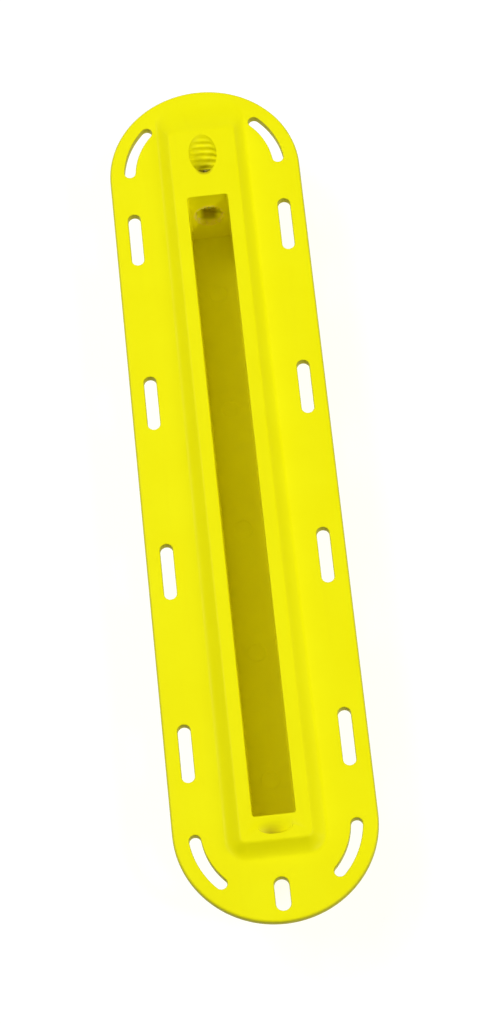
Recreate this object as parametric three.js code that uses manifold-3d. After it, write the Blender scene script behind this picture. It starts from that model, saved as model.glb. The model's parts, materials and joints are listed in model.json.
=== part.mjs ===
// Surfboard fin box: a one-piece moulded socket that is set into the deck of a board's
// underside and holds a fin by its base, with the slanted grub screw that clamps the fin.
//
// Millimetres. +Z is up, out of the slot. +Y runs from the tail end to the nose end, where
// the grub screw is. X runs across. The origin is in the middle of the flange's length and
// width, at the height of the keel's flat underside.

import * as THREE from 'three';
import { mergeVertices } from 'three/addons/utils/BufferGeometryUtils.js';
import Module from 'manifold-3d';

const wasm = await Module();
wasm.setup();

// Driving dimensions

const FLANGE = { width: 33, length: 154, thickness: 1.5 };
const SLOT = { width: 7, length: 114.3, depth: 12.7, centreY: -2.5, cornerRadius: 0.5 };
const FLOOR_THICKNESS = 1.8;
const WALL_THICKNESS = 2.5;
const KEEL = { draft: 0.3, cornerRadius: 1.5 };
const RIM = {
  height: 1.8,
  width: 11.6,
  tailMargin: 4.4,
  noseMargin: 14.2,
  cornerRadius: 1,
  slopeWidth: 2.4,
  slopeHollow: 1.3,
  slopeSteps: 3,
};
const RESIN_SLOT = { width: 2.1, length: 10, offsetX: 13, stations: [48.5, 16.7, -14.7, -47] };
const CURVED_SLOT = { width: 1.9, radius: 13, centreY: 60.6, fromDegrees: 6, toDegrees: 43.5 };
const DRAIN_HOLE = { width: 2.4, length: 5.6, centreY: -72.3 };
const RESIN_KEY = { width: 1.2, proud: 0.6, pitch: 9.5, count: 12, bottomZ: 1.2 };
const SCREW = {
  majorRadius: 2.38,
  minorRadius: 1.95,
  pitch: 25.4 / 24,
  length: 6.35,
  tipRadius: 1.5,
  cupRadius: 1.2,
  cupDepth: 0.55,
  socketAcrossFlats: 2.38,
  socketDepth: 2.6,
  slopeDegrees: 39,
  tipInset: 1.468,
};
const SCREW_BORE_RADIUS = 2.5;
const SCREW_EXIT_DEPTH = 5.1;
const SCREW_BOSS_RADIUS = 4.6;
const SCOOP = { radius: 3.6, depth: 1.3, length: 3.15 };

// Levels and stations that follow from them

const FLANGE_TOP_Z = FLOOR_THICKNESS + SLOT.depth;
const FLANGE_BOTTOM_Z = FLANGE_TOP_Z - FLANGE.thickness;
const RIM_TOP_Z = FLANGE_TOP_Z + RIM.height;
const SLOT_TAIL_Y = SLOT.centreY - SLOT.length / 2;
const SLOT_NOSE_Y = SLOT.centreY + SLOT.length / 2;
const KEEL_WIDTH = SLOT.width + 2 * WALL_THICKNESS;
const SCREW_SLOPE = THREE.MathUtils.degToRad(SCREW.slopeDegrees);
const SCREW_EXIT = new THREE.Vector3(0, SLOT_NOSE_Y, FLANGE_TOP_Z - SCREW_EXIT_DEPTH);
const SCREW_AXIS = new THREE.Vector3(0, Math.cos(SCREW_SLOPE), Math.sin(SCREW_SLOPE));
const LEAN_ONTO_AXIS = SCREW_SLOPE - Math.PI / 2;

const ROUND_SEGMENTS = 24;
const CUT_ALLOWANCE = 5;

// Turning three.js geometry into solids that can be joined and cut, and back

function solidFrom(geometry) {
  const bare = geometry.clone();
  bare.deleteAttribute('normal');
  bare.deleteAttribute('uv');
  const merged = mergeVertices(bare, 1e-4);
  return new wasm.Manifold(new wasm.Mesh({
    numProp: 3,
    vertProperties: new Float32Array(merged.attributes.position.array),
    triVerts: new Uint32Array(merged.index.array),
  }));
}

function geometryFrom(solid) {
  const mesh = solid.getMesh();
  const geometry = new THREE.BufferGeometry();
  geometry.setAttribute('position', new THREE.BufferAttribute(mesh.vertProperties, 3));
  geometry.setIndex(new THREE.BufferAttribute(mesh.triVerts, 1));
  return geometry;
}

// Outlines in plan

// A rectangle with rounded corners, longer along Y.
function roundedRectangle(outline, width, tailY, noseY, radius) {
  const x = width / 2 - radius;
  const tail = tailY + radius;
  const nose = noseY - radius;
  outline.moveTo(-x, tailY);
  outline.lineTo(x, tailY);
  outline.absarc(x, tail, radius, -Math.PI / 2, 0, false);
  outline.absarc(x, nose, radius, 0, Math.PI / 2, false);
  outline.absarc(-x, nose, radius, Math.PI / 2, Math.PI, false);
  outline.absarc(-x, tail, radius, Math.PI, 1.5 * Math.PI, false);
  outline.closePath();
  return outline;
}

// A straight slot with round ends, centred at x, y and running along Y.
function roundEndedSlot(outline, x, y, width, length) {
  const radius = width / 2;
  const reach = length / 2 - radius;
  outline.absarc(x, y + reach, radius, 0, Math.PI, false);
  outline.absarc(x, y - reach, radius, Math.PI, 2 * Math.PI, false);
  outline.closePath();
  return outline;
}

// A slot of even width along an arc about 0, centreY, with round ends.
function curvedSlot(outline, centreY, radius, width, fromAngle, toAngle) {
  const half = width / 2;
  const capX = (angle) => radius * Math.cos(angle);
  const capY = (angle) => centreY + radius * Math.sin(angle);
  outline.absarc(0, centreY, radius + half, fromAngle, toAngle, false);
  outline.absarc(capX(toAngle), capY(toAngle), half, toAngle, toAngle + Math.PI, false);
  outline.absarc(0, centreY, radius - half, toAngle, fromAngle, true);
  outline.absarc(capX(fromAngle), capY(fromAngle), half, fromAngle + Math.PI, fromAngle + 2 * Math.PI, false);
  outline.closePath();
  return outline;
}

// Solids

function extrusion(shape, bottomZ, topZ, curveSegments) {
  const geometry = new THREE.ExtrudeGeometry(shape, {
    depth: topZ - bottomZ,
    bevelEnabled: false,
    curveSegments,
  });
  geometry.translate(0, 0, bottomZ);
  return solidFrom(geometry);
}

// A block whose sides lean in by the same amount all round, from the wider level to the
// narrower one. A straight foot and its own lower slope lie behind the wider level.
function leaningBlock(shape, wideZ, narrowZ, leanIn, foot) {
  const rise = Math.abs(narrowZ - wideZ);
  const geometry = new THREE.ExtrudeGeometry(shape, {
    depth: foot,
    bevelThickness: rise,
    bevelSize: leanIn,
    bevelOffset: -leanIn,
    bevelSegments: 1,
    curveSegments: 4,
  });
  geometry.translate(0, 0, narrowZ > wideZ ? wideZ - foot : wideZ);
  return solidFrom(geometry);
}

function block(width, length, height, x, y, z) {
  const geometry = new THREE.BoxGeometry(width, length, height);
  geometry.translate(x, y, z);
  return solidFrom(geometry);
}

// A round bar on the grub screw's axis; the distances are measured from the screw's exit.
function barOnScrewAxis(radius, from, to, segments) {
  const geometry = new THREE.CylinderGeometry(radius, radius, to - from, segments);
  geometry.rotateX(Math.PI / 2 + LEAN_ONTO_AXIS);
  const middle = SCREW_EXIT.clone().addScaledVector(SCREW_AXIS, (from + to) / 2);
  geometry.translate(middle.x, middle.y, middle.z);
  return solidFrom(geometry);
}

// The flange is a plate with full-round ends. Resin flows through its slots.
function flangePlate() {
  const plate = roundEndedSlot(new THREE.Shape(), 0, 0, FLANGE.width, FLANGE.length);
  for (const side of [-1, 1]) {
    for (const y of RESIN_SLOT.stations) {
      plate.holes.push(roundEndedSlot(new THREE.Path(), side * RESIN_SLOT.offsetX, y,
        RESIN_SLOT.width, RESIN_SLOT.length));
    }
  }
  const from = THREE.MathUtils.degToRad(CURVED_SLOT.fromDegrees);
  const to = THREE.MathUtils.degToRad(CURVED_SLOT.toDegrees);
  const arcs = [
    [CURVED_SLOT.centreY, from, to],
    [CURVED_SLOT.centreY, Math.PI - to, Math.PI - from],
    [-CURVED_SLOT.centreY, Math.PI + from, Math.PI + to],
    [-CURVED_SLOT.centreY, 2 * Math.PI - to, 2 * Math.PI - from],
  ];
  for (const [centreY, start, end] of arcs) {
    plate.holes.push(curvedSlot(new THREE.Path(), centreY, CURVED_SLOT.radius, CURVED_SLOT.width, start, end));
  }
  plate.holes.push(roundEndedSlot(new THREE.Path(), 0, DRAIN_HOLE.centreY, DRAIN_HOLE.width, DRAIN_HOLE.length));
  return extrusion(plate, FLANGE_BOTTOM_Z, FLANGE_TOP_Z, 12);
}

// The raised rim round the slot slopes down to the flange all round. The slope is slightly
// hollow, so it is steepest at the rim's top edge.
function raisedRim() {
  const foot = 0.3;
  const outset = (step) => RIM.slopeWidth * (step / RIM.slopeSteps);
  const level = (step) => FLANGE_TOP_Z + RIM.height * (1 - step / RIM.slopeSteps) ** RIM.slopeHollow;
  let rim = null;
  for (let step = 1; step <= RIM.slopeSteps; step += 1) {
    const spread = outset(step);
    const shape = roundedRectangle(new THREE.Shape(), RIM.width + 2 * spread,
      SLOT_TAIL_Y - RIM.tailMargin - spread, SLOT_NOSE_Y + RIM.noseMargin + spread, RIM.cornerRadius + spread);
    const tier = leaningBlock(shape, level(step), level(step - 1), spread - outset(step - 1), foot);
    rim = rim ? rim.add(tier) : tier;
  }
  return rim;
}

// The keel is the deep part under the flange that the slot is sunk into.
function keelBody() {
  const shape = roundedRectangle(new THREE.Shape(), KEEL_WIDTH, SLOT_TAIL_Y - WALL_THICKNESS,
    SLOT_NOSE_Y + WALL_THICKNESS, KEEL.cornerRadius);
  const foot = 0.5;
  const leaning = leaningBlock(shape, FLANGE_BOTTOM_Z, 0, KEEL.draft, foot);
  const above = block(FLANGE.width, FLANGE.length, FLANGE_TOP_Z, 0, 0, FLANGE_TOP_Z * 1.5);
  return leaning.subtract(above);
}

// Upright ribs on the keel's sides, for the resin to grip.
function resinKeys() {
  const height = FLANGE_BOTTOM_Z + FLANGE.thickness / 2 - RESIN_KEY.bottomZ;
  const width = KEEL_WIDTH + 2 * RESIN_KEY.proud;
  let keys = null;
  for (let i = 0; i < RESIN_KEY.count; i += 1) {
    const y = SLOT.centreY + (i - (RESIN_KEY.count - 1) / 2) * RESIN_KEY.pitch;
    const key = block(width, RESIN_KEY.width, height, 0, y, RESIN_KEY.bottomZ + height / 2);
    keys = keys ? keys.add(key) : key;
  }
  return keys;
}

// The screw's boss runs up from the keel's nose end wall into the flange.
function screwBoss() {
  const boss = barOnScrewAxis(SCREW_BOSS_RADIUS, -1, SCREW_EXIT_DEPTH + 10, ROUND_SEGMENTS * 2);
  const above = block(FLANGE.width, FLANGE.length, FLANGE_TOP_Z, 0, 0, FLANGE_TOP_Z * 1.5);
  return boss.subtract(above);
}

function finSlot() {
  const shape = roundedRectangle(new THREE.Shape(), SLOT.width, SLOT_TAIL_Y, SLOT_NOSE_Y, SLOT.cornerRadius);
  return extrusion(shape, FLOOR_THICKNESS, RIM_TOP_Z + CUT_ALLOWANCE, 3);
}

// A shallow scoop in the rim behind the slot. Its bed falls away from the slot's end.
function tailScoop() {
  const fall = Math.atan2(SCOOP.depth, SCOOP.length);
  const geometry = new THREE.CylinderGeometry(SCOOP.radius, SCOOP.radius, CUT_ALLOWANCE, ROUND_SEGMENTS * 2);
  geometry.rotateX(Math.PI / 2);
  geometry.translate(0, SCOOP.radius - SCOOP.length, CUT_ALLOWANCE / 2);
  geometry.rotateX(fall);
  geometry.translate(0, SLOT_TAIL_Y, RIM_TOP_Z);
  return solidFrom(geometry);
}

function finBoxSolid() {
  const screwBore = barOnScrewAxis(SCREW_BORE_RADIUS, -CUT_ALLOWANCE, SCREW.length * 3, ROUND_SEGMENTS);
  return flangePlate()
    .add(raisedRim())
    .add(keelBody())
    .add(resinKeys())
    .add(screwBoss())
    .subtract(finSlot())
    .subtract(screwBore)
    .subtract(tailScoop());
}

// The grub screw is turned about its own axis, from the cup point at 0 up to the socket
// end. Its thread is drawn as rings at the thread's pitch.
function grubScrewSolid() {
  const profile = [new THREE.Vector2(0, 0), new THREE.Vector2(SCREW.tipRadius, 0)];
  const rings = Math.floor(SCREW.length / SCREW.pitch);
  const firstRoot = (SCREW.length - rings * SCREW.pitch) / 2;
  for (let i = 0; i < rings; i += 1) {
    const root = firstRoot + i * SCREW.pitch;
    profile.push(new THREE.Vector2(SCREW.minorRadius, root + SCREW.pitch * 0.1));
    profile.push(new THREE.Vector2(SCREW.majorRadius, root + SCREW.pitch * 0.45));
    profile.push(new THREE.Vector2(SCREW.majorRadius, root + SCREW.pitch * 0.6));
  }
  profile.push(new THREE.Vector2(SCREW.minorRadius, SCREW.length));
  profile.push(new THREE.Vector2(0, SCREW.length));
  const body = new THREE.LatheGeometry(profile, ROUND_SEGMENTS);
  body.rotateX(Math.PI / 2);

  const cup = new THREE.ConeGeometry(SCREW.cupRadius * 2, SCREW.cupDepth * 2, ROUND_SEGMENTS);
  cup.rotateX(Math.PI / 2);

  const socketCorner = SCREW.socketAcrossFlats / Math.sqrt(3);
  const socket = new THREE.CylinderGeometry(socketCorner, socketCorner, SCREW.socketDepth * 2, 6);
  socket.rotateX(Math.PI / 2);
  socket.translate(0, 0, SCREW.length);

  return solidFrom(body).subtract(solidFrom(cup)).subtract(solidFrom(socket));
}

// The assembly

const yellowPlastic = new THREE.MeshStandardMaterial({ color: 0xf0f00c, roughness: 0.45, metalness: 0 });
const stainlessSteel = new THREE.MeshStandardMaterial({ color: 0xb4b6b8, roughness: 0.3, metalness: 1 });

const finBox = new THREE.Mesh(geometryFrom(finBoxSolid()), yellowPlastic);
finBox.name = 'fin_box';

const grubScrew = new THREE.Mesh(geometryFrom(grubScrewSolid()), stainlessSteel);
grubScrew.name = 'grub_screw';

// The screw's own axis is leaned onto the bore's, with its point near the slot's end wall.
const screwSeat = new THREE.Group();
screwSeat.position.copy(SCREW_EXIT).addScaledVector(SCREW_AXIS, SCREW.tipInset);
screwSeat.rotation.x = LEAN_ONTO_AXIS;
screwSeat.add(grubScrew);

const assembly = new THREE.Group();
assembly.name = 'surfboard_fin_box';
assembly.add(finBox, screwSeat);

export default assembly;
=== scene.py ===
"""A yellow moulded surfboard fin box with its slanted grub screw, on a plain pale floor.

Everything is in metres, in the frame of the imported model: +Z up out of the slot, +Y towards
the nose end with the screw. Levels and stations come from the frame's boxes, mounts and
joint; the sizes below are those that the frame does not hold.
"""

import json
import math

import bmesh
import bpy
from mathutils import Matrix, Vector
from mathutils.geometry import delaunay_2d_cdt


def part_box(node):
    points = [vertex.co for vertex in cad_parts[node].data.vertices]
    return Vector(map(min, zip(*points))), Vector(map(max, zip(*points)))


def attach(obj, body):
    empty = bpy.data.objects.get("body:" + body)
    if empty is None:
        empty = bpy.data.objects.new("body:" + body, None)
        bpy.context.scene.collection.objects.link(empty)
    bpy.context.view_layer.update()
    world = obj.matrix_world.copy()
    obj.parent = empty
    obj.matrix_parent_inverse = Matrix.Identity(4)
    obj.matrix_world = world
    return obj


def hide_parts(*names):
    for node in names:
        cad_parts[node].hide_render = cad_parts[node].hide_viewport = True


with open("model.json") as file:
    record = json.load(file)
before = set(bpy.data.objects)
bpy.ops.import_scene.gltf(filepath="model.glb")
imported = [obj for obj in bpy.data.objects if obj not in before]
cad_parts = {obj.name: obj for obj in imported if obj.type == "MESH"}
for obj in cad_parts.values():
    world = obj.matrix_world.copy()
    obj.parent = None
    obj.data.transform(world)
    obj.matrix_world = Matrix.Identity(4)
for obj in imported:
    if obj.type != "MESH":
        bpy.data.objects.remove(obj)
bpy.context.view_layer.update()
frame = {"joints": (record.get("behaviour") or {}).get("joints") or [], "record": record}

MM = 0.001
QUARTER = math.pi / 2
scene = bpy.context.scene

# Camera: above and behind the tail end, rolled so that the nose leans to the left

CAMERA_TARGET = Vector((-0.47, -5.3, 14.5)) * MM
CAMERA_DISTANCE = 582.4 * MM
CAMERA_AZIMUTH = math.radians(0.68)
CAMERA_ELEVATION = math.radians(64.45)
CAMERA_ROLL = math.radians(-6.89)
CAMERA_LENS = 123.6


def make_camera():
    away = Vector((math.sin(CAMERA_AZIMUTH) * math.cos(CAMERA_ELEVATION),
                   -math.cos(CAMERA_AZIMUTH) * math.cos(CAMERA_ELEVATION),
                   math.sin(CAMERA_ELEVATION)))
    data = bpy.data.cameras.new("camera")
    data.lens = CAMERA_LENS
    data.clip_start = 0.01
    camera = bpy.data.objects.new("camera", data)
    turn = away.to_track_quat("Z", "Y").to_matrix() @ Matrix.Rotation(CAMERA_ROLL, 3, "Z")
    place = Matrix.Translation(CAMERA_TARGET + away * CAMERA_DISTANCE)
    camera.matrix_world = place @ turn.to_4x4()
    scene.collection.objects.link(camera)
    scene.camera = camera


make_camera()

# Levels and stations that the frame holds

mounts = {mount["name"]: Vector(mount["pos_m"]) for mount in frame["record"]["mounts"]}
box_high = Vector(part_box("fin_box")[1])

FLANGE_HALF_WIDTH = box_high.x
FLANGE_HALF_LENGTH = box_high.y
FLANGE_TOP = mounts["flange_top"].z
FLANGE_BOTTOM = mounts["flange_underside"].z
RIM_TOP = mounts["rim_top"].z
SLOT_FLOOR = mounts["slot_floor"].z
SLOT_HALF_WIDTH = mounts["slot_side_right"].x
SLOT_TAIL = mounts["slot_tail_wall"].y
SLOT_NOSE = 2 * mounts["slot_floor"].y - SLOT_TAIL

# Sizes of the moulding

FLANGE_EDGE_RADIUS = 0.5 * MM
HOLE_EDGE_RADIUS = 0.2 * MM
RIM_HALF_WIDTH = 5.8 * MM
RIM_TAIL = SLOT_TAIL - 4.2 * MM
RIM_NOSE = SLOT_NOSE + 13.4 * MM
RIM_CORNER_RADIUS = 1.0 * MM
RIM_SLOPE_WIDTH = 2.4 * MM
RIM_SLOPE_HOLLOW = 1.5
RIM_NOSE_RUN = 4.0 * MM
RIM_NOSE_NARROWING = 0.5 * MM
RIM_EDGE_SOFTNESS = 0.5 * MM
SLOT_CORNER_RADIUS = 0.5 * MM
SLOT_EDGE_RADIUS = 0.15 * MM
SLOT_FLOOR_FILLET = 0.15 * MM
RESIN_SLOT_X = 13.0 * MM
RESIN_SLOT_STATIONS = (48.5 * MM, 16.7 * MM, -14.7 * MM, -47.0 * MM)
RESIN_SLOT_HALF_WIDTH = 1.05 * MM
RESIN_SLOT_HALF_LENGTH = 5.0 * MM
CURVED_SLOT_Y = 60.6 * MM
CURVED_SLOT_RADIUS = 13.0 * MM
CURVED_SLOT_HALF_WIDTH = 0.95 * MM
CURVED_SLOT_FROM = math.radians(6)
CURVED_SLOT_TO = math.radians(43.5)
DRAIN_HOLE_CENTRE_Y = -72.3 * MM
DRAIN_HOLE_HALF_WIDTH = 1.2 * MM
DRAIN_HOLE_HALF_LENGTH = 2.8 * MM
SCOOP_HALF_WIDTH = 3.3 * MM
SCOOP_LENGTH = 3.0 * MM
SCOOP_DEPTH = 1.2 * MM
SCOOP_GAP = 0.2 * MM
SCOOP_SQUARENESS = 2.6
SCOOP_WALL_FROM = 0.95
SCOOP_BED_CURVE = 1.7
SCOOP_REACHES = (0.1, 0.2, 0.3, 0.4, 0.5, 0.6, 0.7, 0.79, 0.87, SCOOP_WALL_FROM, 1.0)
WALL_THICKNESS = 2.5 * MM
KEEL_CORNER_RADIUS = 1.5 * MM
KEEL_DRAFT = 0.3 * MM
KEEL_ROOT_FILLET = 0.6 * MM
KEEL_BOTTOM_RADIUS = 0.5 * MM
RIB_PITCH = 9.5 * MM
RIB_COUNT = 12
RIB_PROUD = 0.6 * MM
RIB_BOTTOM = 1.2 * MM
RIB_FOOT_PROUD = 0.03 * MM
RIB_SECTION = ((-1.1, 0.0), (-0.75, 0.2), (-0.6, 0.8), (-0.4, 1.0),
               (0.4, 1.0), (0.6, 0.8), (0.75, 0.2), (1.1, 0.0))
PIN_MARK_DEPTH = 0.06 * MM
FLOOR_PIN_RADIUS = 1.6 * MM
FLOOR_PIN_COUNT = 5
FLANGE_PIN_RADIUS = 2.0 * MM
NOSE_PIN_Y = 72.3 * MM
BOSS_RADIUS = 4.6 * MM

# The screw, its thread, and where it lies

SCREW_AXIS = -Vector(frame["joints"][0]["axis"]).normalized()
SCREW_EXIT = Vector((0, SLOT_NOSE, FLANGE_TOP - 5.1 * MM))
SCREW_TIP_INSET = 1.468 * MM
SCREW_LENGTH = 6.35 * MM
THREAD_PITCH = 25.4 / 24 * MM
THREAD_MAJOR = 2.36 * MM
THREAD_MINOR = 1.80 * MM
THREAD_CREST_HALF_WIDTH = THREAD_PITCH / 16
THREAD_FLANK = math.tan(math.radians(60))
HOLE_RADIUS = 2.42 * MM
HOLE_THREAD_HEIGHT = 0.18 * MM
HOLE_LEAD_IN = 1.0 * MM
HOLE_BREAKOUT = 0.5 * MM
HOLE_BURR = 0.06 * MM
SCREW_TIP_RADIUS = 1.5 * MM
CUP_RADIUS = 1.15 * MM
CUP_DEPTH = 0.7 * MM
SOCKET_ACROSS_FLATS = 2.38 * MM
SOCKET_DEPTH = 2.6 * MM
SOCKET_MOUTH_RADIUS = 1.5 * MM
SOCKET_CHAMFER = 0.2 * MM
HEAD_CHAMFER = 0.3 * MM
CUTTER_FROM = -5 * MM
CUTTER_TO = 14 * MM
BOSS_FROM = -2 * MM
BOSS_TO = 16 * MM

# Painted shade and a painted highlight in the screw's hole: distances from its axis, from its middle
# plane and, along the object, from the slot's end wall

HOLE_SHADE_RADIUS = (2.55 * MM, 2.75 * MM)
HOLE_SHADE_HALF_WIDTH = (0.8 * MM, 1.7 * MM)
HOLE_SHADE_START = (0.3 * MM, 1.3 * MM)
HOLE_SHADE_END = (3 * MM, 8.8 * MM)
EXIT_HIGHLIGHT_RADIUS = (2.4 * MM, 2.9 * MM)
EXIT_HIGHLIGHT_DEPTH = (0.4 * MM, 0.8 * MM)

# Floor and light

FLOOR_SIZE = 6.0
FLOOR_GLOW = 0.8
SKY_STRENGTH = 0.05
BACKDROP_STRENGTH = 0.8
LIGHT_DISTANCE = 1.0
SOFT_LIGHT_SIZE = 0.45
SMALL_LIGHT_SIZE = 0.22
SLOT_BOUNCES = 8

# How finely round shapes are divided: edges, corners of outlines, the ends of the holes and of
# the flange, and the threads

EDGE_STEPS = 4
CORNER_STEPS = 6
HOLE_END_STEPS = 16
HOLE_CAP_STEPS = 12
OVAL_END_STEPS = 20
END_STEPS = 64
PIN_STEPS = 32
RIM_SLOPE_STEPS = 24
SOFTENING_STEPS = 8
SCOOP_STEPS = 40
THREAD_ROWS_PER_PITCH = 16
THREAD_COLUMNS = 72

# Shading: the steepest edges that are shaded smooth, in degrees, and how much large faces count

MOULDING_SMOOTH_TO = 38
SCREW_SMOOTH_TO = 35
LARGE_FACE_WEIGHT = 80


# Outlines in plan: lists of x, y that go round anticlockwise. grow moves an outline outwards.

def on_circle(x, y, radius, turn):
    return x + radius * math.cos(turn), y + radius * math.sin(turn)


def arc(x, y, radius, start, end, steps):
    return [on_circle(x, y, radius, start + (end - start) * i / steps) for i in range(steps + 1)]


def round_ended(x, y, half_width, half_length, steps, grow):
    reach = half_length - half_width
    radius = half_width + grow
    return (arc(x, y + reach, radius, 0, math.pi, steps)
            + arc(x, y - reach, radius, math.pi, 2 * math.pi, steps))


def rounded_rectangle(half_width, tail, nose, radius, grow):
    x = half_width - radius
    size = radius + grow
    return (arc(x, nose - radius, size, 0, QUARTER, CORNER_STEPS)
            + arc(-x, nose - radius, size, QUARTER, 2 * QUARTER, CORNER_STEPS)
            + arc(-x, tail + radius, size, 2 * QUARTER, 3 * QUARTER, CORNER_STEPS)
            + arc(x, tail + radius, size, 3 * QUARTER, 4 * QUARTER, CORNER_STEPS))


def flange_outline(grow):
    return round_ended(0, 0, FLANGE_HALF_WIDTH, FLANGE_HALF_LENGTH, END_STEPS, grow)


def curved_slot_outline(y, start, end, grow):
    """A slot with round ends that is bent round a centre on the middle line, at y."""
    outer = CURVED_SLOT_RADIUS + CURVED_SLOT_HALF_WIDTH + grow
    inner = CURVED_SLOT_RADIUS - CURVED_SLOT_HALF_WIDTH - grow
    cap = CURVED_SLOT_HALF_WIDTH + grow
    at_end = on_circle(0, y, CURVED_SLOT_RADIUS, end)
    at_start = on_circle(0, y, CURVED_SLOT_RADIUS, start)
    return (arc(0, y, outer, start, end, HOLE_END_STEPS)
            + arc(*at_end, cap, end, end + math.pi, HOLE_CAP_STEPS)[1:-1]
            + arc(0, y, inner, end, start, HOLE_END_STEPS)
            + arc(*at_start, cap, start + math.pi, start + 2 * math.pi, HOLE_CAP_STEPS)[1:-1])


def rim_outline(grow):
    """The rim's edge, or its slope's outline farther out: at the nose end the slope is a little
    narrower beside the rim, and runs out in a long ramp."""
    out = max(0.0, grow) / RIM_SLOPE_WIDTH
    outline = []
    for x, y in rounded_rectangle(RIM_HALF_WIDTH, RIM_TAIL, RIM_NOSE, RIM_CORNER_RADIUS, grow):
        if y > SLOT_NOSE:
            x -= math.copysign(RIM_NOSE_NARROWING * out, x)
            y += RIM_NOSE_RUN * out
        outline.append((x, y))
    return outline


def slot_outline(grow):
    return rounded_rectangle(SLOT_HALF_WIDTH, SLOT_TAIL, SLOT_NOSE, SLOT_CORNER_RADIUS, grow)


def keel_side(x, outward, proud):
    """One long side of the keel at x, from tail to nose, with a flared rib at every pitch. A
    rib's section is in millimetres along the side, and in parts of proud away from it."""
    middle = (SLOT_TAIL + SLOT_NOSE) / 2
    side = []
    for i in range(RIB_COUNT):
        y = middle + (i - (RIB_COUNT - 1) / 2) * RIB_PITCH
        side += [(x + outward * proud * height, y + along * MM) for along, height in RIB_SECTION]
    return side


def keel_outline(grow, proud):
    half_width = SLOT_HALF_WIDTH + WALL_THICKNESS
    corners = rounded_rectangle(half_width, SLOT_TAIL - WALL_THICKNESS, SLOT_NOSE + WALL_THICKNESS,
                                KEEL_CORNER_RADIUS, grow)
    nose_end = corners[:2 * (CORNER_STEPS + 1)]
    tail_end = corners[2 * (CORNER_STEPS + 1):]
    right = keel_side(half_width + grow, 1, proud)
    left = keel_side(-half_width - grow, -1, proud)
    return nose_end + left[::-1] + tail_end + right


# Edge profiles: lists of (grow, z)

def rounded_edge(radius, level, below, spread):
    """From a wall onto a flat face at level: the wall is under it where below is 1, over it at -1.
    spread is -1 for the edge of a solid and 1 for the mouth of a hole."""
    turns = (QUARTER * i / EDGE_STEPS for i in range(EDGE_STEPS + 1))
    return [(spread * radius * (1 - math.cos(turn)), level - below * radius * (1 - math.sin(turn)))
            for turn in turns]


def root_fillet(radius, level):
    """From a flat face at level, through a hollow round, into a wall that hangs from it."""
    turns = (QUARTER * i / EDGE_STEPS for i in range(EDGE_STEPS + 1))
    return [(radius * (1 - math.sin(turn)), level - radius * (1 - math.cos(turn))) for turn in turns]


def floor_fillet(radius, level):
    """From a wall, through a hollow round, onto a floor at level inside it."""
    turns = (QUARTER * i / EDGE_STEPS for i in range(EDGE_STEPS + 1))
    return [(-radius * (1 - math.cos(turn)), level + radius - radius * math.sin(turn)) for turn in turns]


def rim_slope():
    """From the flange's face up the rim's hollow slope and over its softly rounded top edge."""
    def hard(out):
        climb = 1 - min(1.0, max(0.0, out / RIM_SLOPE_WIDTH))
        return climb ** RIM_SLOPE_HOLLOW

    def soft(out):
        count = SOFTENING_STEPS + 1
        offsets = (RIM_EDGE_SOFTNESS * (i / SOFTENING_STEPS - 0.5) for i in range(count))
        return sum(hard(out + offset) for offset in offsets) / count

    reach = RIM_SLOPE_WIDTH + RIM_EDGE_SOFTNESS
    parts = [1 - i / RIM_SLOPE_STEPS for i in range(RIM_SLOPE_STEPS + 1)]
    outs = [reach * part - RIM_EDGE_SOFTNESS / 2 for part in parts]
    return [(out, FLANGE_TOP + (RIM_TOP - FLANGE_TOP) * soft(out)) for out in outs]


def inside(point, polygon):
    """True where an x, y point lies inside a polygon."""
    x, y = point
    hit = False
    for (ax, ay), (bx, by) in zip(polygon, polygon[1:] + polygon[:1]):
        if (ay > y) != (by > y) and x < ax + (bx - ax) * (y - ay) / (by - ay):
            hit = not hit
    return hit


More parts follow.
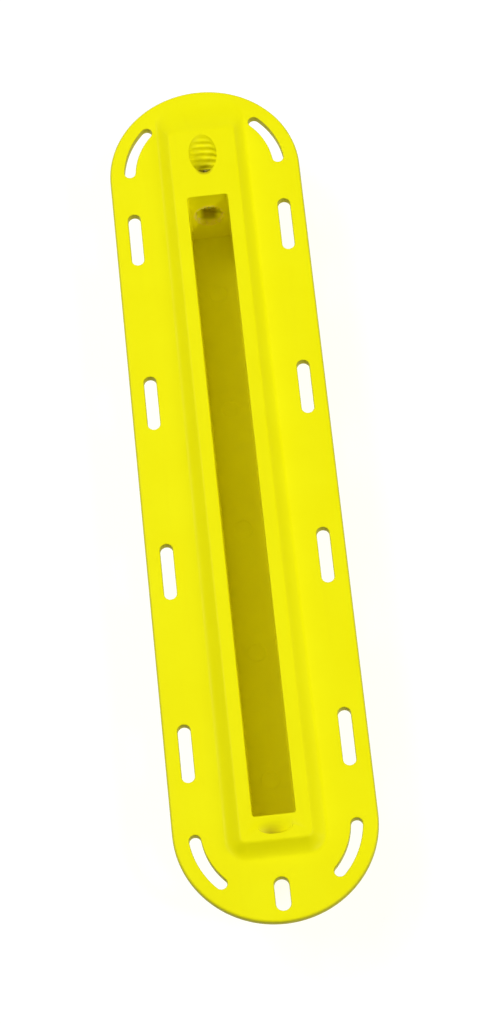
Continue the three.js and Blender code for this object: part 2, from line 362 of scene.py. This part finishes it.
class Skin:
    """A closed surface put together from rings of points."""

    def __init__(self):
        self.points = []
        self.faces = []

    def ring(self, outline, z):
        """Adds an outline at one height, and gives back its point numbers."""
        first = len(self.points)
        self.points.extend((x, y, z) for x, y in outline)
        return list(range(first, len(self.points)))

    def strip(self, one, other):
        """Joins two rings of as many points with quads."""
        for i, (a, b) in enumerate(zip(one, other)):
            self.faces.append((a, one[i - 1], other[i - 1], b))

    def wall(self, outline_at, profile):
        """A wall of rings, one for each (grow, z). Gives back its first and last ring."""
        rings = [self.ring(outline_at(grow), z) for grow, z in profile]
        for one, other in zip(rings, rings[1:]):
            self.strip(one, other)
        return rings[0], rings[-1]

    def fill(self, boundary, holes=()):
        """Fills the flat face inside the boundary ring and outside the holes' rings."""
        loops = [boundary, *holes]
        numbers = [number for loop in loops for number in loop]
        flat = [Vector(self.points[number][:2]) / MM for number in numbers]
        edges = []
        first = 0
        for loop in loops:
            edges += [(first + i, first + (i + 1) % len(loop)) for i in range(len(loop))]
            first += len(loop)
        _, _, triangles, origins, _, _ = delaunay_2d_cdt(flat, edges, [], 1, 1e-7)
        outlines = [[tuple(Vector(self.points[number][:2]) / MM) for number in hole]
                    for hole in holes]
        for triangle in triangles:
            corners = [origins[corner][0] for corner in triangle]
            middle = sum((flat[corner] for corner in corners), Vector((0, 0))) / 3
            if not any(inside(middle, outline) for outline in outlines):
                self.faces.append(tuple(numbers[corner] for corner in corners))

    def pin_marks(self, places, radius, level, sink):
        """Shallow round marks that ejector pins leave in a flat face. Gives back their rings."""
        rims = []
        for x, y in places:
            outline = arc(x, y, radius, 0, 2 * math.pi, PIN_STEPS)[:-1]
            inner = arc(x, y, radius - PIN_MARK_DEPTH, 0, 2 * math.pi, PIN_STEPS)[:-1]
            rim = self.ring(outline, level)
            bed = self.ring(inner, level + sink)
            self.strip(rim, bed)
            self.fill(bed)
            rims.append(rim)
        return rims

    def made(self, name):
        """A Blender object of the surface, with its faces pointing out."""
        mesh = bpy.data.meshes.new(name)
        mesh.from_pydata(self.points, [], self.faces)
        work = bmesh.new()
        work.from_mesh(mesh)
        bmesh.ops.recalc_face_normals(work, faces=work.faces)
        work.to_mesh(mesh)
        work.free()
        piece = bpy.data.objects.new(name, mesh)
        scene.collection.objects.link(piece)
        return piece


# The moulding

def add_flange_holes(skin):
    """The walls of all the holes through the flange: the straight slots, the curved ones and the
    oval one at the tail. Gives back their rings in the top face and in the bottom face."""
    profile = (rounded_edge(HOLE_EDGE_RADIUS, FLANGE_TOP, 1, 1)[::-1]
               + rounded_edge(HOLE_EDGE_RADIUS, FLANGE_BOTTOM, -1, 1))
    outlines = []
    for side in (-1, 1):
        for y in RESIN_SLOT_STATIONS:
            outlines.append(lambda grow, x=side * RESIN_SLOT_X, y=y: round_ended(
                x, y, RESIN_SLOT_HALF_WIDTH, RESIN_SLOT_HALF_LENGTH, HOLE_END_STEPS, grow))
    for quadrant in range(4):
        y = CURVED_SLOT_Y if quadrant < 2 else -CURVED_SLOT_Y
        start, end = CURVED_SLOT_FROM, CURVED_SLOT_TO
        if quadrant % 2:
            start, end = 2 * QUARTER - end, 2 * QUARTER - start
        if quadrant > 1:
            start, end = start + 2 * QUARTER, end + 2 * QUARTER
        outlines.append(lambda grow, y=y, start=start, end=end: curved_slot_outline(
            y, start, end, grow))
    outlines.append(lambda grow: round_ended(
        0, DRAIN_HOLE_CENTRE_Y, DRAIN_HOLE_HALF_WIDTH, DRAIN_HOLE_HALF_LENGTH, OVAL_END_STEPS, grow))
    ends = [skin.wall(outline_at, profile) for outline_at in outlines]
    return [top for top, _ in ends], [bottom for _, bottom in ends]


def add_scoop(skin):
    """The scoop behind the slot: a bed, hollow across, that falls away to a steep tail wall."""
    front = SLOT_TAIL - SCOOP_GAP
    power = 2 / SCOOP_SQUARENESS
    centre = skin.ring([(0, front)], RIM_TOP)[0]
    rays = []
    for i in range(SCOOP_STEPS + 1):
        turn = math.pi * i / SCOOP_STEPS
        cosine = math.cos(turn)
        edge_x = SCOOP_HALF_WIDTH * math.copysign(abs(cosine) ** power, cosine)
        edge_y = -SCOOP_LENGTH * math.sin(turn) ** power
        ray = []
        for reach in SCOOP_REACHES:
            wall = 1 - max(0.0, (reach - SCOOP_WALL_FROM) / (1 - SCOOP_WALL_FROM))
            along = -edge_y * min(reach, SCOOP_WALL_FROM) / SCOOP_LENGTH / SCOOP_WALL_FROM
            across = 1 - (edge_x * reach / SCOOP_HALF_WIDTH) ** 2
            fall = SCOOP_DEPTH * along ** SCOOP_BED_CURVE * across * wall
            ray += skin.ring([(edge_x * reach, front + edge_y * reach)], RIM_TOP - fall)
        rays.append(ray)
    for one, other in zip(rays, rays[1:]):
        skin.faces.append((centre, one[0], other[0]))
        for k in range(len(SCOOP_REACHES) - 1):
            skin.faces.append((one[k], one[k + 1], other[k + 1], other[k]))
    return rays[0][:-1] + [ray[-1] for ray in rays] + rays[-1][:-1][::-1] + [centre]


def add_slot(skin):
    """The slot's walls and its floor with ejector marks. Gives back the mouth's ring."""
    profile = (rounded_edge(SLOT_EDGE_RADIUS, RIM_TOP, 1, 1)[::-1]
               + floor_fillet(SLOT_FLOOR_FILLET, SLOT_FLOOR))
    mouth, bed = skin.wall(slot_outline, profile)
    step = (SLOT_NOSE - SLOT_TAIL) / FLOOR_PIN_COUNT
    places = [(0, SLOT_TAIL + step * (i + 0.5)) for i in range(FLOOR_PIN_COUNT)]
    skin.fill(bed, skin.pin_marks(places, FLOOR_PIN_RADIUS, SLOT_FLOOR, -PIN_MARK_DEPTH))
    return mouth


def add_keel(skin):
    """The keel's walls, ribs and bottom. Gives back its ring in the flange's underside."""
    root = root_fillet(KEEL_ROOT_FILLET, FLANGE_BOTTOM)
    rings = [skin.ring(keel_outline(grow, RIB_PROUD), z) for grow, z in root]
    for z, proud in ((RIB_BOTTOM + RIB_PROUD, RIB_PROUD), (RIB_BOTTOM, RIB_FOOT_PROUD)):
        rings.append(skin.ring(keel_outline(-KEEL_DRAFT * (1 - z / FLANGE_BOTTOM), proud), z))
    for grow, z in rounded_edge(KEEL_BOTTOM_RADIUS, 0, -1, -1):
        rings.append(skin.ring(keel_outline(grow - KEEL_DRAFT, 0), z))
    for one, other in zip(rings, rings[1:]):
        skin.strip(one, other)
    skin.fill(rings[-1])
    return rings[0]


def moulding_skin():
    skin = Skin()
    hole_tops, hole_bottoms = add_flange_holes(skin)
    outer = (rounded_edge(FLANGE_EDGE_RADIUS, FLANGE_BOTTOM, -1, -1)[::-1]
             + rounded_edge(FLANGE_EDGE_RADIUS, FLANGE_TOP, 1, -1))
    under, over = skin.wall(flange_outline, outer)
    rim_base, rim_top = skin.wall(rim_outline, rim_slope())
    skin.fill(over, [rim_base, *hole_tops])
    skin.fill(rim_top, [add_slot(skin), add_scoop(skin)])
    pin_x = (RIM_HALF_WIDTH + RESIN_SLOT_X) / 2
    between = [(one + other) / 2 for one, other in zip(RESIN_SLOT_STATIONS, RESIN_SLOT_STATIONS[1:])]
    pin_places = [(side * pin_x, y) for side in (-1, 1) for y in between]
    pin_places.append((0, NOSE_PIN_Y))
    pins = skin.pin_marks(pin_places, FLANGE_PIN_RADIUS, FLANGE_BOTTOM, PIN_MARK_DEPTH)
    skin.fill(under, [add_keel(skin), *hole_bottoms, *pins])
    return skin


def combine(target, other, operation):
    """Joins another closed piece to the target or cuts it away, then deletes it."""
    modifier = target.modifiers.new("combine", "BOOLEAN")
    modifier.operation = operation
    modifier.solver = "MANIFOLD"
    modifier.object = other
    evaluated = target.evaluated_get(bpy.context.evaluated_depsgraph_get())
    mesh = bpy.data.meshes.new_from_object(evaluated)
    mesh.materials.clear()
    target.modifiers.remove(modifier)
    target.data = mesh
    bpy.data.objects.remove(other)


def block(low, high):
    """A plain cutting block between two corners."""
    skin = Skin()
    corners = ((low.x, low.y), (high.x, low.y), (high.x, high.y), (low.x, high.y))
    bottom, top = skin.ring(corners, low.z), skin.ring(corners, high.z)
    skin.strip(bottom, top)
    skin.faces += [tuple(bottom), tuple(top)]
    return skin.made("block")


# Round pieces on the screw's axis. Local Z runs from the screw's point at 0 to its socket end.

def screw_place():
    across = Vector((1, 0, 0))
    up = SCREW_AXIS.cross(across)
    turn = Matrix((across, up, SCREW_AXIS)).transposed().to_4x4()
    return Matrix.Translation(SCREW_EXIT + SCREW_AXIS * SCREW_TIP_INSET) @ turn


def round_ring(skin, radius_at, along):
    """A ring about local Z; radius_at gives the radius for an angle."""
    turns = [2 * math.pi * i / THREAD_COLUMNS for i in range(THREAD_COLUMNS)]
    return skin.ring([(radius_at(turn) * math.cos(turn), radius_at(turn) * math.sin(turn))
                      for turn in turns], along)


def thread_radius(along, turn):
    """The radius of the screw's right-handed 60 degree thread, along the axis and round it."""
    turns = along / THREAD_PITCH - turn / (2 * math.pi)
    from_crest = abs(turns - round(turns)) * THREAD_PITCH
    flank = THREAD_MAJOR - (from_crest - THREAD_CREST_HALF_WIDTH) * THREAD_FLANK
    return min(THREAD_MAJOR, max(THREAD_MINOR, flank))


def close_with_point(skin, ring, along):
    point = skin.ring([(0, 0)], along)[0]
    skin.faces += [(ring[i - 1], ring[i], point) for i in range(len(ring))]


def settle(piece):
    """Puts a piece made about local Z on the screw's axis."""
    piece.data.transform(screw_place())
    return piece


def tapped_radius(along, turn):
    """The radius of the tapped hole. Its thread fades out at the mouth in the rim, and its edge
    is flared and a little ragged where it breaks out into the slot."""
    lift = HOLE_RADIUS * math.sin(turn)
    from_exit = along + SCREW_TIP_INSET
    depth = RIM_TOP - SCREW_EXIT.z - SCREW_AXIS.z * from_exit + SCREW_AXIS.y * lift
    fade = min(1.0, max(0.0, depth / HOLE_LEAD_IN))
    wave = math.cos(2 * math.pi * along / THREAD_PITCH - turn)
    radius = HOLE_RADIUS - HOLE_THREAD_HEIGHT * (1 - wave) / 2 * fade * fade * (3 - 2 * fade)
    from_wall = SCREW_AXIS.y * from_exit + SCREW_AXIS.z * lift
    near = max(0.0, 1 - abs(from_wall) / HOLE_BREAKOUT)
    ragged = math.sin(5 * turn + 0.7) + math.sin(9 * turn + 2.1) + math.sin(14 * turn)
    return radius + HOLE_BURR * near * (1.5 + 0.5 * ragged)


def threaded_cutter():
    """What a tap cuts out of the moulding, from inside the slot to above the rim."""
    reach = CUTTER_TO - CUTTER_FROM
    rows = round(reach / THREAD_PITCH * THREAD_ROWS_PER_PITCH)
    skin = Skin()
    rings = []
    for row in range(rows + 1):
        along = CUTTER_FROM + reach * row / rows
        rings.append(round_ring(skin, lambda turn, along=along: tapped_radius(along, turn), along))
    for one, other in zip(rings, rings[1:]):
        skin.strip(one, other)
    close_with_point(skin, rings[0], CUTTER_FROM)
    close_with_point(skin, rings[-1], CUTTER_TO)
    return settle(skin.made("threaded_cutter"))


def screw_boss():
    """The round boss under the flange, cut off inside the nose end wall and inside the flange."""
    skin = Skin()
    rings = [round_ring(skin, lambda turn: BOSS_RADIUS, along) for along in (BOSS_FROM, BOSS_TO)]
    skin.strip(*rings)
    skin.faces += [tuple(ring) for ring in rings]
    boss = settle(skin.made("screw_boss"))
    far = FLANGE_HALF_LENGTH
    inside_wall = SLOT_NOSE + WALL_THICKNESS / 2
    inside_flange = (FLANGE_TOP + FLANGE_BOTTOM) / 2
    above_flange = block(Vector((-far, -far, inside_flange)), Vector((far, far, far)))
    slot_side = block(Vector((-far, -far, -far)), Vector((far, inside_wall, far)))
    combine(boss, above_flange, "DIFFERENCE")
    combine(boss, slot_side, "DIFFERENCE")
    return boss


def fin_box_moulding():
    moulding = moulding_skin().made("fin_box_moulding")
    combine(moulding, screw_boss(), "UNION")
    combine(moulding, threaded_cutter(), "DIFFERENCE")
    return moulding


def hex_radius(turn):
    side = (turn + math.pi / 6) % (math.pi / 3) - math.pi / 6
    return SOCKET_ACROSS_FLATS / 2 / math.cos(side)


def grub_screw_piece():
    """A cup-point grub screw with a hexagon socket."""
    skin = Skin()
    cup = round_ring(skin, lambda turn: CUP_RADIUS, 0)
    close_with_point(skin, cup, CUP_DEPTH)
    rings = [cup]
    rows = round(SCREW_LENGTH / THREAD_PITCH * THREAD_ROWS_PER_PITCH)
    for row in range(rows + 1):
        along = SCREW_LENGTH * row / rows
        chamfer = min(SCREW_TIP_RADIUS + along,
                      THREAD_MAJOR - HEAD_CHAMFER + (SCREW_LENGTH - along))
        rings.append(round_ring(skin, lambda turn, along=along, chamfer=chamfer: min(
            chamfer, thread_radius(along, turn)), along))
    rings.append(round_ring(skin, lambda turn: SOCKET_MOUTH_RADIUS, SCREW_LENGTH))
    rings.append(round_ring(skin, hex_radius, SCREW_LENGTH - SOCKET_CHAMFER))
    rings.append(round_ring(skin, hex_radius, SCREW_LENGTH - SOCKET_DEPTH))
    for one, other in zip(rings, rings[1:]):
        skin.strip(one, other)
    close_with_point(skin, rings[-1], SCREW_LENGTH - SOCKET_DEPTH - SOCKET_CHAMFER)
    return settle(skin.made("grub_screw_piece"))


def shade(piece, smooth_to):
    """Smooth shading that keeps flat faces flat, and edges steeper than the angle sharp."""
    piece.data.shade_smooth()
    piece.data.set_sharp_from_angle(angle=math.radians(smooth_to))
    weighted = piece.modifiers.new("weighted_normals", "WEIGHTED_NORMAL")
    weighted.keep_sharp = True
    weighted.weight = LARGE_FACE_WEIGHT


# Materials

YELLOW = (0.92, 0.872, 0.002)
LIGHT_YELLOW = (0.935, 0.895, 0.003)
STREAK_YELLOW = (0.88, 0.82, 0.003)
SPECK_BROWN = (0.32, 0.24, 0.02)
# Painted shade in the deep part of the scoop
PAINTED_SCOOP_SHADE = (0.40, 0.32, 0.01)
# Painted shade along the middle of the screw's hole
PAINTED_HOLE_SHADE = (0.36, 0.26, 0.01)
# Painted highlight round the hole's exit in the slot's end wall
PAINTED_EXIT_HIGHLIGHT = (0.95, 0.80, 0.25)
# Painted shade on the upright sides and rounded edges of the flange and its holes
PAINTED_EDGE_SHADE = (0.40, 0.37, 0.02)
STEEL = (0.66, 0.67, 0.68)
TARNISHED_STEEL = (0.50, 0.50, 0.49)
# Painted shade on the screw's socket end
PAINTED_SOCKET_SHADE = (0.34, 0.28, 0.04)


class Nodes:
    """A material's node tree, with short calls for the nodes used here."""

    def __init__(self, name):
        self.material = bpy.data.materials.new(name)
        self.material.use_nodes = True
        self.tree = self.material.node_tree
        self.shader = self.tree.nodes["Principled BSDF"]
        self.place = self.add("ShaderNodeTexCoord").outputs["Object"]

    def add(self, kind, **settings):
        node = self.tree.nodes.new(kind)
        for key, value in settings.items():
            setattr(node, key, value)
        return node

    def link(self, source, target):
        self.tree.links.new(source, target)

    def noise(self, scale, detail, stretch=(1, 1, 1)):
        """Noise over the piece; scale is in waves to a metre."""
        mapping = self.add("ShaderNodeMapping")
        mapping.inputs["Scale"].default_value = stretch
        self.link(self.place, mapping.inputs["Vector"])
        noise = self.add("ShaderNodeTexNoise")
        noise.inputs["Scale"].default_value = scale
        noise.inputs["Detail"].default_value = detail
        self.link(mapping.outputs["Vector"], noise.inputs["Vector"])
        return noise.outputs["Fac"]

    def ramp(self, value, low, high, to_low, to_high):
        """Carries a value from one range to another, and stops at its ends."""
        node = self.add("ShaderNodeMapRange")
        sockets = ("From Min", "From Max", "To Min", "To Max")
        for socket, number in zip(sockets, (low, high, to_low, to_high)):
            node.inputs[socket].default_value = number
        self.link(value, node.inputs["Value"])
        return node.outputs["Result"]

    def split(self, vector):
        """The x, y and z of a vector."""
        node = self.add("ShaderNodeSeparateXYZ")
        self.link(vector, node.inputs[0])
        return tuple(node.outputs)

    def size_of(self, value):
        node = self.add("ShaderNodeMath", operation="ABSOLUTE")
        self.link(value, node.inputs[0])
        return node.outputs[0]

    def times(self, *values):
        """All the values multiplied together."""
        product = values[0]
        for value in values[1:]:
            node = self.add("ShaderNodeMath", operation="MULTIPLY")
            self.link(product, node.inputs[0])
            self.link(value, node.inputs[1])
            product = node.outputs[0]
        return product

    def larger_of(self, one, other):
        node = self.add("ShaderNodeMath", operation="MAXIMUM")
        self.link(one, node.inputs[0])
        self.link(other, node.inputs[1])
        return node.outputs[0]

    def vector_with(self, operation, vector, fixed):
        """A vector operation between a vector and a fixed one."""
        node = self.add("ShaderNodeVectorMath", operation=operation)
        self.link(vector, node.inputs[0])
        node.inputs[1].default_value = fixed
        return node.outputs

    def mix(self, factor, one, other):
        """A colour between two, each a colour or another node's output."""
        node = self.add("ShaderNodeMix", data_type="RGBA")
        self.link(factor, node.inputs[0])
        for socket, colour in ((node.inputs[6], one), (node.inputs[7], other)):
            if isinstance(colour, tuple):
                socket.default_value = (*colour, 1)
            else:
                self.link(colour, socket)
        return node.outputs[2]

    def bump(self, height, distance, strength, below=None):
        node = self.add("ShaderNodeBump")
        node.inputs["Distance"].default_value = distance
        node.inputs["Strength"].default_value = strength
        self.link(height, node.inputs["Height"])
        if below is not None:
            self.link(below, node.inputs["Normal"])
        return node.outputs["Normal"]


def outer_side_shade(nodes):
    """Near 1 on the upright sides and rounded edges of the flange and its holes, which are darkened
    there with painted shade, and 0 everywhere else."""
    x, y, z = nodes.split(nodes.place)
    facing_up = nodes.size_of(nodes.split(nodes.add("ShaderNodeTexCoord").outputs["Normal"])[2])
    upright = nodes.ramp(facing_up, 0.4, 0.98, 0.85, 0)
    side = RIM_HALF_WIDTH + RIM_SLOPE_WIDTH
    end = RIM_SLOPE_WIDTH - RIM_TAIL
    beside_rim = nodes.ramp(nodes.size_of(x), side, side + 1 * MM, 0, 1)
    beyond_rim = nodes.ramp(nodes.size_of(y), end, end + RIM_SLOPE_WIDTH, 0, 1)
    under_top = nodes.ramp(z, FLANGE_TOP, FLANGE_TOP + 0.1 * MM, 1, 0)
    return nodes.times(upright, nodes.larger_of(beside_rim, beyond_rim), under_top)


def exit_shade_and_highlight(nodes):
    """Two factors in the screw's hole: painted shade along its middle, as far up as the screw's socket
    end, and a pale ragged painted highlight round its exit in the slot's end wall."""
    to_exit = nodes.vector_with("SUBTRACT", nodes.place, SCREW_EXIT)["Vector"]
    across_axis = nodes.vector_with("CROSS_PRODUCT", to_exit, SCREW_AXIS)["Vector"]
    from_axis = nodes.vector_with("LENGTH", across_axis, (0, 0, 0))["Value"]
    x, y, _ = nodes.split(to_exit)
    # Painted shade: darker along the hole's middle, where the bore lies in shade
    painted_shade = nodes.times(nodes.ramp(from_axis, *HOLE_SHADE_RADIUS, 1, 0),
                        nodes.ramp(y, *HOLE_SHADE_START, 0, 0.8),
                        nodes.ramp(nodes.size_of(x), *HOLE_SHADE_HALF_WIDTH, 1, 0),
                        nodes.ramp(y, *HOLE_SHADE_END, 1, 0))
    # Painted highlight: a paler ragged ring round the hole's exit
    painted_highlight = nodes.times(nodes.ramp(from_axis, *EXIT_HIGHLIGHT_RADIUS, 0.9, 0),
                       nodes.ramp(nodes.size_of(y), *EXIT_HIGHLIGHT_DEPTH, 1, 0),
                       nodes.ramp(nodes.noise(1400, 2), 0.35, 0.6, 0.2, 1))
    return painted_shade, painted_highlight


def scoop_painted_shade(nodes):
    """Painted shade over the deep part of the scoop, more of it to the left."""
    x, y, z = nodes.split(nodes.place)
    front = SLOT_TAIL - SCOOP_GAP
    tail_end = front - SCOOP_LENGTH
    return nodes.times(
        nodes.ramp(z, RIM_TOP - 0.8 * SCOOP_DEPTH, RIM_TOP - 0.1 * MM, 0.9, 0),
        nodes.ramp(z, FLANGE_BOTTOM + 0.5 * MM, FLANGE_TOP, 0, 1),
        nodes.ramp(y, front - 0.3 * MM, front + 0.1 * MM, 1, 0),
        nodes.ramp(y, tail_end - 0.2 * MM, tail_end, 0, 1),
        nodes.ramp(x, -0.8 * MM, 1.8 * MM, 1, 0),
        nodes.ramp(nodes.size_of(x), SCOOP_HALF_WIDTH, SCOOP_HALF_WIDTH + 0.1 * MM, 1, 0))


def speck_spots(nodes):
    """1 in a few tiny spots, at some of the centres of a cell pattern, and 0 elsewhere."""
    cells = nodes.add("ShaderNodeTexVoronoi")
    cells.inputs["Scale"].default_value = 75
    nodes.link(nodes.place, cells.inputs["Vector"])
    chances = nodes.add("ShaderNodeSeparateColor")
    nodes.link(cells.outputs["Color"], chances.inputs["Color"])
    chosen = nodes.add("ShaderNodeMath", operation="GREATER_THAN")
    nodes.link(chances.outputs["Red"], chosen.inputs[0])
    chosen.inputs[1].default_value = 0.86
    near = nodes.ramp(cells.outputs["Distance"], 0.012, 0.022, 1, 0)
    return nodes.times(near, chosen.outputs[0])


def yellow_plastic():
    """Bright opaque moulded plastic, with faint flow streaks, mottling and a few specks, and painted
    shade and a painted highlight in its hollows and on its edges.
    """
    nodes = Nodes("yellow_plastic")
    mottle = nodes.ramp(nodes.noise(90, 3), 0.35, 0.65, 0, 1)
    streaks = nodes.ramp(nodes.noise(30, 4, stretch=(18, 1, 18)), 0.55, 0.75, 0, 0.25)
    # Painted shade and a painted highlight in the screw's hole
    painted_shade, painted_highlight = exit_shade_and_highlight(nodes)
    colour = nodes.mix(mottle, YELLOW, LIGHT_YELLOW)
    # The darker colours in the scoop, along the screw's hole and on the outer sides are painted shade;
    # the pale ring round the hole's exit is a painted highlight
    for factor, over in ((streaks, STREAK_YELLOW), (speck_spots(nodes), SPECK_BROWN),
                         (scoop_painted_shade(nodes), PAINTED_SCOOP_SHADE), (painted_shade, PAINTED_HOLE_SHADE),
                         (painted_highlight, PAINTED_EXIT_HIGHLIGHT), (outer_side_shade(nodes), PAINTED_EDGE_SHADE)):
        colour = nodes.mix(factor, colour, over)
    nodes.link(colour, nodes.shader.inputs["Base Color"])
    nodes.link(nodes.ramp(nodes.noise(160, 4), 0.3, 0.7, 0.36, 0.50), nodes.shader.inputs["Roughness"])
    nodes.shader.inputs["IOR"].default_value = 1.5
    nodes.shader.inputs["Specular IOR Level"].default_value = 0.06
    waves = nodes.bump(nodes.noise(55, 2), 0.10 * MM, 0.25)
    grain = nodes.bump(nodes.noise(2600, 3), 0.015 * MM, 0.35, below=waves)
    nodes.link(grain, nodes.shader.inputs["Normal"])
    return nodes.material


def stainless_steel():
    """Bright machined steel with fine turning marks, a little tarnish and painted shade on the socket
    end.
    """
    nodes = Nodes("stainless_steel")
    tarnish = nodes.ramp(nodes.noise(700, 4), 0.35, 0.7, 0, 1)
    along = nodes.vector_with("DOT_PRODUCT", nodes.place, SCREW_AXIS)["Value"]
    head = SCREW_AXIS.dot(SCREW_EXIT) + SCREW_TIP_INSET + SCREW_LENGTH
    # Painted shade darkens the socket end, deep in the hole
    painted_shade = nodes.ramp(along, head - 0.6 * MM, head - 0.2 * MM, 0, 0.85)
    colour = nodes.mix(painted_shade, nodes.mix(tarnish, STEEL, TARNISHED_STEEL), PAINTED_SOCKET_SHADE)
    nodes.link(colour, nodes.shader.inputs["Base Color"])
    nodes.shader.inputs["Metallic"].default_value = 1
    nodes.link(nodes.ramp(nodes.noise(2400, 3), 0.3, 0.7, 0.20, 0.36), nodes.shader.inputs["Roughness"])
    marks = nodes.bump(nodes.noise(3800, 2), 0.01 * MM, 0.3)
    nodes.link(marks, nodes.shader.inputs["Normal"])
    return nodes.material


def floor_material():
    nodes = Nodes("pale_floor")
    nodes.shader.inputs["Base Color"].default_value = (0.30, 0.30, 0.30, 1)
    nodes.shader.inputs["Roughness"].default_value = 0.9
    nodes.shader.inputs["Specular IOR Level"].default_value = 0.1
    nodes.shader.inputs["Emission Color"].default_value = (1, 1, 1, 1)
    nodes.shader.inputs["Emission Strength"].default_value = FLOOR_GLOW
    return nodes.material


# Floor and light

def make_floor():
    skin = Skin()
    half = FLOOR_SIZE / 2
    skin.faces.append(tuple(skin.ring(((-half, -half), (half, -half), (half, half), (-half, half)), 0)))
    floor = skin.made("floor")
    floor.data.materials.append(floor_material())


def make_light(name, direction, size, power):
    """A round soft light on the object, in a direction seen from it."""
    data = bpy.data.lights.new(name, "AREA")
    data.shape = "DISK"
    data.size = size
    data.energy = power
    light = bpy.data.objects.new(name, data)
    light.location = direction.normalized() * LIGHT_DISTANCE
    light.rotation_euler = direction.to_track_quat("Z", "Y").to_euler()
    scene.collection.objects.link(light)


def make_sky():
    """A faint even light from all round, in front of a pale backdrop."""
    world = bpy.data.worlds.new("studio")
    world.use_nodes = True
    tree = world.node_tree
    sky = tree.nodes["Background"]
    sky.inputs["Color"].default_value = (1, 1, 1, 1)
    rays = tree.nodes.new("ShaderNodeLightPath")
    strength = tree.nodes.new("ShaderNodeMapRange")
    strength.inputs["To Min"].default_value = SKY_STRENGTH
    strength.inputs["To Max"].default_value = BACKDROP_STRENGTH
    tree.links.new(rays.outputs["Is Camera Ray"], strength.inputs["Value"])
    tree.links.new(strength.outputs["Result"], sky.inputs["Strength"])
    scene.world = world


def make_studio():
    make_sky()
    scene.view_settings.view_transform = "Standard"
    scene.cycles.diffuse_bounces = SLOT_BOUNCES
    make_light("nose_left_light", Vector((-0.5, 0.4, 0.77)), SOFT_LIGHT_SIZE, 4.7)
    make_light("tail_right_light", Vector((0.5, -0.4, 0.77)), SMALL_LIGHT_SIZE, 3.25)
    make_light("low_right_light", Vector((0.87, 0, 0.5)), SOFT_LIGHT_SIZE, 2.9)
    make_light("left_light", Vector((-0.58, 0, 0.81)), SOFT_LIGHT_SIZE, 1.5)
    make_light("overhead_light", Vector((-0.22, 0.35, 0.91)), SOFT_LIGHT_SIZE, 0.55)


# The object

moulding = fin_box_moulding()
moulding.data.materials.append(yellow_plastic())
shade(moulding, MOULDING_SMOOTH_TO)
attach(moulding, "moulding")
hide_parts("fin_box")

screw = grub_screw_piece()
screw.data.materials.append(stainless_steel())
shade(screw, SCREW_SMOOTH_TO)
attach(screw, "screw")
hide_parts("grub_screw")

make_floor()
make_studio()
